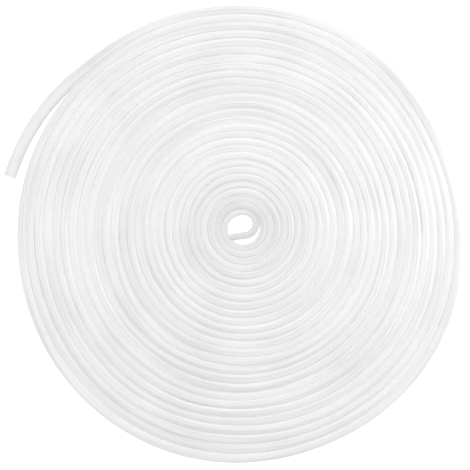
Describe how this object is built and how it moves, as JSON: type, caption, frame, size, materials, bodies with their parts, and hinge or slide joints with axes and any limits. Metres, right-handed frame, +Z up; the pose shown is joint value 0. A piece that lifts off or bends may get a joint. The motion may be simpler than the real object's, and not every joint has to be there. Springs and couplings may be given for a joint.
{
  "type": "tree guard tube",
  "caption": "Flat spiral coil of soft, hollow, milky plastic tube for tying and sleeving young trees and vines, with both ends cut open.",
  "frame": {"origin": "under the middle of the whole outline, on the surface that the coil lies on", "axes": "+Z up through the coil's eye, -X towards the side where the free tail's cut end lies, +Y towards the rim where the tail leaves the winding"},
  "size_m": [0.2314, 0.2268, 0.0075],
  "materials": {
    "tube": "soft translucent milky plastic, satin, with faint lengthwise streaks and fine winding wrinkles"
  },
  "bodies": {
    "root": {"inner_cut_end": "tube", "inner_curl": "tube", "turns_1_to_3": "tube", "turns_4_to_6": "tube", "turns_7_to_9": "tube", "turns_10_to_12": "tube", "turns_13_to_15": "tube", "turns_16_to_18": "tube", "turns_19_to_21": "tube", "turns_22_to_24": "tube", "turns_25_to_27": "tube", "outer_lap": "tube", "tail_opening": "tube", "tail": "tube", "tail_cut_end": "tube"}
  },
  "joints": []
}
